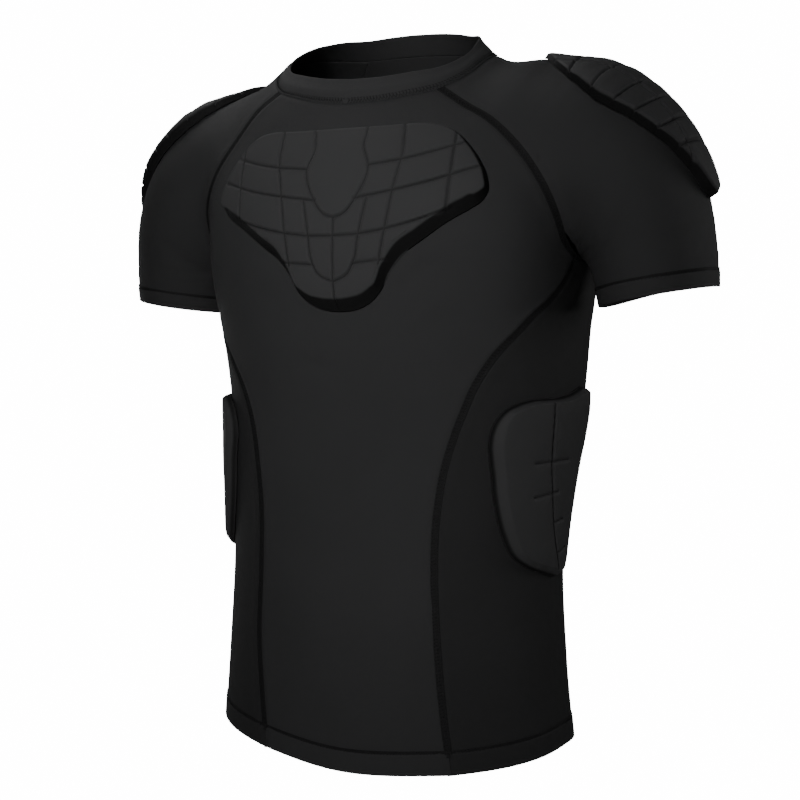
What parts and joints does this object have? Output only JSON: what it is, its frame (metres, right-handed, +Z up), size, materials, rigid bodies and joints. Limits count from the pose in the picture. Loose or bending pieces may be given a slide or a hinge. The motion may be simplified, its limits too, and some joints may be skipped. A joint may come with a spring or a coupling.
{
  "type": "padded compression shirt",
  "caption": "Short-sleeved raglan compression shirt with a grooved chest pad, cap-shaped shoulder pads and rib pads, filled out as worn and hollow.",
  "frame": {"origin": "where the wearer's shoulders carry the shirt: on the mid line, level with the sides of the neck", "axes": "+Z up towards the neck, -Y out of the chest, +X towards the wearer's left"},
  "size_m": [0.6062, 0.2567, 0.6741],
  "materials": {
    "stretch_cloth": "matt black stretch knit",
    "side_cloth": "matt black stretch knit",
    "collar_cloth": "matt black doubled knit",
    "pad_cover": "matt black cloth moulded over foam"
  },
  "bodies": {
    "root": {"front_panel": "stretch_cloth", "back_panel": "stretch_cloth", "side_panel_left": "side_cloth", "side_panel_right": "side_cloth", "sleeve_left": "stretch_cloth", "sleeve_right": "stretch_cloth", "collar": "collar_cloth", "chest_pad": "pad_cover", "shoulder_pad_left": "pad_cover", "shoulder_pad_right": "pad_cover", "rib_pad_left": "pad_cover", "rib_pad_right": "pad_cover"}
  },
  "joints": []
}
